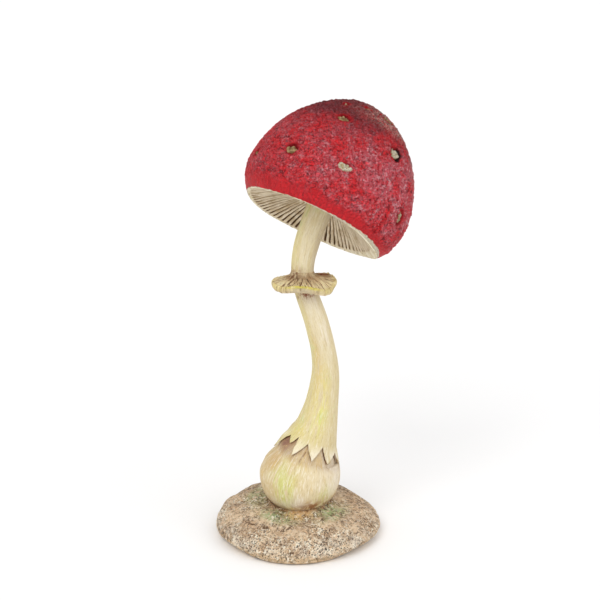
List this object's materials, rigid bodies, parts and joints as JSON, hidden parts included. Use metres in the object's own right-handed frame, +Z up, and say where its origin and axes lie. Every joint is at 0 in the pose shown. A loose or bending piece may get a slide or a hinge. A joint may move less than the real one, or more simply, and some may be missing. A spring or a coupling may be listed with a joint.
{
  "type": "fly agaric mushroom ornament",
  "caption": "Painted cast ornament of a fly agaric: a tilted red cap with gills beneath, a bent pale stem with a ring and torn skirt, and a bulb on a soil mound.",
  "frame": {"origin": "middle of the mound's flat underside", "axes": "+Z up; the cap leans towards +X and +Y, so its gills show from -Y; +X is to the right seen from there"},
  "size_m": [0.1197, 0.1175, 0.2677],
  "materials": {
    "sandy_soil": "painted and dry-brushed cast resin, rough and matt",
    "cream_bulb": "painted cast resin, satin matt, cream with yellow-green washes",
    "cream_stem": "painted cast resin, satin matt, streaked along its length",
    "cream_ring": "painted cast resin, matt, brown in the pleats",
    "cream_gills": "painted cast resin, matt, dark brown between the gills",
    "red_cap": "painted cast resin, leathery and slightly glossy, dry-brushed"
  },
  "bodies": {
    "root": {"soil_mound": "sandy_soil", "bulb": "cream_bulb", "stem": "cream_stem", "ring": "cream_ring", "gills": "cream_gills", "cap": "red_cap"}
  },
  "joints": []
}
